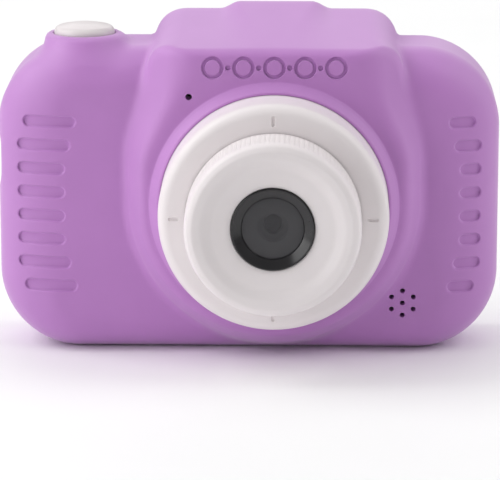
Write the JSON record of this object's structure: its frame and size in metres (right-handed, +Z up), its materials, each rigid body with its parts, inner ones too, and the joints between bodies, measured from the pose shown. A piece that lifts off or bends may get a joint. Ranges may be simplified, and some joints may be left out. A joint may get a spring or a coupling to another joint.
{
  "type": "toy digital camera",
  "caption": "Rounded toy digital camera in a soft purple silicone sleeve, with a white stepped lens barrel, a shutter button on top, and a screen and buttons on its back.",
  "frame": {"origin": "on the surface the camera stands on, under the middle of the whole object from side to side and from lens rim to back", "axes": "+Z up, -Y out of the lens, +X to the right as seen from the front (the side without the shutter button)"},
  "size_m": [0.096, 0.0504, 0.0651],
  "materials": {
    "silicone": "soft matte moulded silicone, light purple",
    "white_plastic": "satin white moulded ABS",
    "button_plastic": "satin white moulded ABS caps",
    "switch_black": "black moulded switch body",
    "black_gloss": "glossy black ring",
    "lens_glass": "dark tinted clear lens",
    "black_plastic": "matt black moulded plastic",
    "rubber_black": "soft black rubber or foam",
    "circuit_board": "green solder mask",
    "ribbon": "amber polyimide film",
    "display": "dark display glass",
    "window": "clear acrylic with a black printed border",
    "pouch": "silver laminated pouch",
    "wire": "red insulated lead",
    "bright_steel": "plated steel",
    "light_guide": "translucent acrylic"
  },
  "bodies": {
    "camera": {"silicone_case": "silicone", "front_shell": "white_plastic", "rear_shell": "white_plastic", "lens_bezel": "white_plastic", "lens_ring": "white_plastic", "power_switch": "switch_black", "menu_switch": "switch_black", "up_switch": "switch_black", "down_switch": "switch_black", "left_switch": "switch_black", "right_switch": "switch_black", "ok_switch": "switch_black", "shutter_switch": "switch_black", "lens_hood": "black_gloss", "lens_cover": "lens_glass", "lens_element": "lens_glass", "lens_barrel": "black_plastic", "lens_holder": "black_plastic", "processor": "black_plastic", "speaker": "black_plastic", "image_sensor": "black_plastic", "microphone_boot": "rubber_black", "speaker_gasket": "rubber_black", "battery_pad": "rubber_black", "main_board": "circuit_board", "sensor_board": "circuit_board", "sensor_ribbon": "ribbon", "display_ribbon": "ribbon", "display_panel": "display", "screen_window": "window", "battery": "pouch", "battery_lead": "wire", "speaker_lead": "wire", "usb_port": "bright_steel", "card_socket": "bright_steel", "lanyard_bar": "bright_steel", "case_screw_1": "bright_steel", "case_screw_2": "bright_steel", "case_screw_3": "bright_steel", "case_screw_4": "bright_steel", "microphone": "bright_steel", "light_pipe": "light_guide", "status_led": "light_guide"},
    "shutter": {"shutter_button": "button_plastic", "shutter_plunger": "switch_black"},
    "power": {"power_button": "button_plastic", "power_plunger": "switch_black"},
    "menu": {"menu_button": "button_plastic", "menu_plunger": "switch_black"},
    "up": {"up_button": "button_plastic", "up_plunger": "switch_black"},
    "down": {"down_button": "button_plastic", "down_plunger": "switch_black"},
    "left": {"left_button": "button_plastic", "left_plunger": "switch_black"},
    "right": {"right_button": "button_plastic", "right_plunger": "switch_black"},
    "ok": {"ok_button": "button_plastic", "ok_plunger": "switch_black"}
  },
  "joints": [
    {"name": "shutter_press", "type": "slide", "parent": "camera", "child": "shutter", "axis": [0, 0, -1], "range_m": [0, 0.0008], "stiffness_N_per_m": 400, "springref_m": -0.002},
    {"name": "power_press", "type": "slide", "parent": "camera", "child": "power", "axis": [0, -1, 0], "range_m": [0, 0.0005], "stiffness_N_per_m": 300, "springref_m": -0.0015},
    {"name": "menu_press", "type": "slide", "parent": "camera", "child": "menu", "axis": [0, -1, 0], "range_m": [0, 0.0005], "stiffness_N_per_m": 300, "springref_m": -0.0015},
    {"name": "up_press", "type": "slide", "parent": "camera", "child": "up", "axis": [0, -1, 0], "range_m": [0, 0.0005], "stiffness_N_per_m": 300, "springref_m": -0.0015},
    {"name": "down_press", "type": "slide", "parent": "camera", "child": "down", "axis": [0, -1, 0], "range_m": [0, 0.0005], "stiffness_N_per_m": 300, "springref_m": -0.0015},
    {"name": "left_press", "type": "slide", "parent": "camera", "child": "left", "axis": [0, -1, 0], "range_m": [0, 0.0005], "stiffness_N_per_m": 300, "springref_m": -0.0015},
    {"name": "right_press", "type": "slide", "parent": "camera", "child": "right", "axis": [0, -1, 0], "range_m": [0, 0.0005], "stiffness_N_per_m": 300, "springref_m": -0.0015},
    {"name": "ok_press", "type": "slide", "parent": "camera", "child": "ok", "axis": [0, -1, 0], "range_m": [0, 0.0005], "stiffness_N_per_m": 300, "springref_m": -0.0015}
  ]
}
